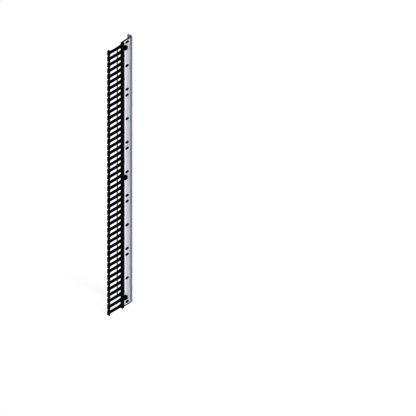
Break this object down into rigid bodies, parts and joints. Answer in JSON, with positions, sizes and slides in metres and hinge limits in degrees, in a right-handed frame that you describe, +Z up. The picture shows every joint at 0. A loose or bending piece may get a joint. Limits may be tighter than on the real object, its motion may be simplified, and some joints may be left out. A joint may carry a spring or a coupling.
{
  "type": "vertical cable manager",
  "caption": "Full-height vertical cable manager: moulded T-finger combs on a folded steel side panel, with a tie rod and stand-off blocks on captive screws.",
  "frame": {"origin": "on the lowest captive screw's axis, in the plane of the lowest block's seat face", "axes": "+X out of the seats into the rack's upright, +Y to the rear of the cabinet (fingers point to -Y), +Z up along the panel"},
  "size_m": [0.048, 0.2018, 2.0223],
  "materials": {
    "panel_paint": "satin",
    "comb_plastic": "matte",
    "block_plastic": "matte",
    "rod_steel": "satin",
    "black_zinc": "satin",
    "bright_zinc": "satin",
    "nylon": "matte",
    "edge_rubber": "matte"
  },
  "bodies": {
    "manager": {"side_panel": "panel_paint", "finger_comb_1": "comb_plastic", "comb_screws_1": "black_zinc", "clinch_nuts_1": "bright_zinc", "slot_grommets_1": "block_plastic", "finger_comb_2": "comb_plastic", "comb_screws_2": "black_zinc", "clinch_nuts_2": "bright_zinc", "slot_grommets_2": "block_plastic", "finger_comb_3": "comb_plastic", "comb_screws_3": "black_zinc", "clinch_nuts_3": "bright_zinc", "slot_grommets_3": "block_plastic", "finger_comb_4": "comb_plastic", "comb_screws_4": "black_zinc", "clinch_nuts_4": "bright_zinc", "slot_grommets_4": "block_plastic", "finger_comb_5": "comb_plastic", "comb_screws_5": "black_zinc", "clinch_nuts_5": "bright_zinc", "slot_grommets_5": "block_plastic", "tie_rod": "rod_steel", "rod_cap_top": "block_plastic", "rod_cap_bottom": "block_plastic", "edge_strip_top": "edge_rubber", "edge_strip_bottom": "edge_rubber", "ear_plug": "block_plastic", "mounting_block_bottom": "block_plastic", "block_screws_bottom": "bright_zinc", "retaining_ring_bottom": "nylon", "mounting_block_middle": "block_plastic", "block_screws_middle": "bright_zinc", "retaining_ring_middle": "nylon", "mounting_block_top": "block_plastic", "block_screws_top": "bright_zinc", "retaining_ring_top": "nylon"},
    "washer_bottom": {"screw_washer_bottom": "black_zinc"},
    "screw_bottom": {"captive_screw_bottom": "black_zinc"},
    "washer_middle": {"screw_washer_middle": "black_zinc"},
    "screw_middle": {"captive_screw_middle": "black_zinc"},
    "washer_top": {"screw_washer_top": "black_zinc"},
    "screw_top": {"captive_screw_top": "black_zinc"}
  },
  "joints": [
    {"name": "screw_bottom_travel", "type": "slide", "parent": "manager", "child": "washer_bottom", "axis": [-1, 0, 0], "range_m": [0, 0.014]},
    {"name": "screw_bottom_turn", "type": "hinge", "parent": "washer_bottom", "child": "screw_bottom", "pos_m": [0, 0, 0], "axis": [1, 0, 0], "continuous": true},
    {"name": "screw_middle_travel", "type": "slide", "parent": "manager", "child": "washer_middle", "axis": [-1, 0, 0], "range_m": [0, 0.014]},
    {"name": "screw_middle_turn", "type": "hinge", "parent": "washer_middle", "child": "screw_middle", "pos_m": [0, 0, 0.90487], "axis": [1, 0, 0], "continuous": true},
    {"name": "screw_top_travel", "type": "slide", "parent": "manager", "child": "washer_top", "axis": [-1, 0, 0], "range_m": [0, 0.014]},
    {"name": "screw_top_turn", "type": "hinge", "parent": "washer_top", "child": "screw_top", "pos_m": [0, 0, 1.88278], "axis": [1, 0, 0], "continuous": true}
  ]
}
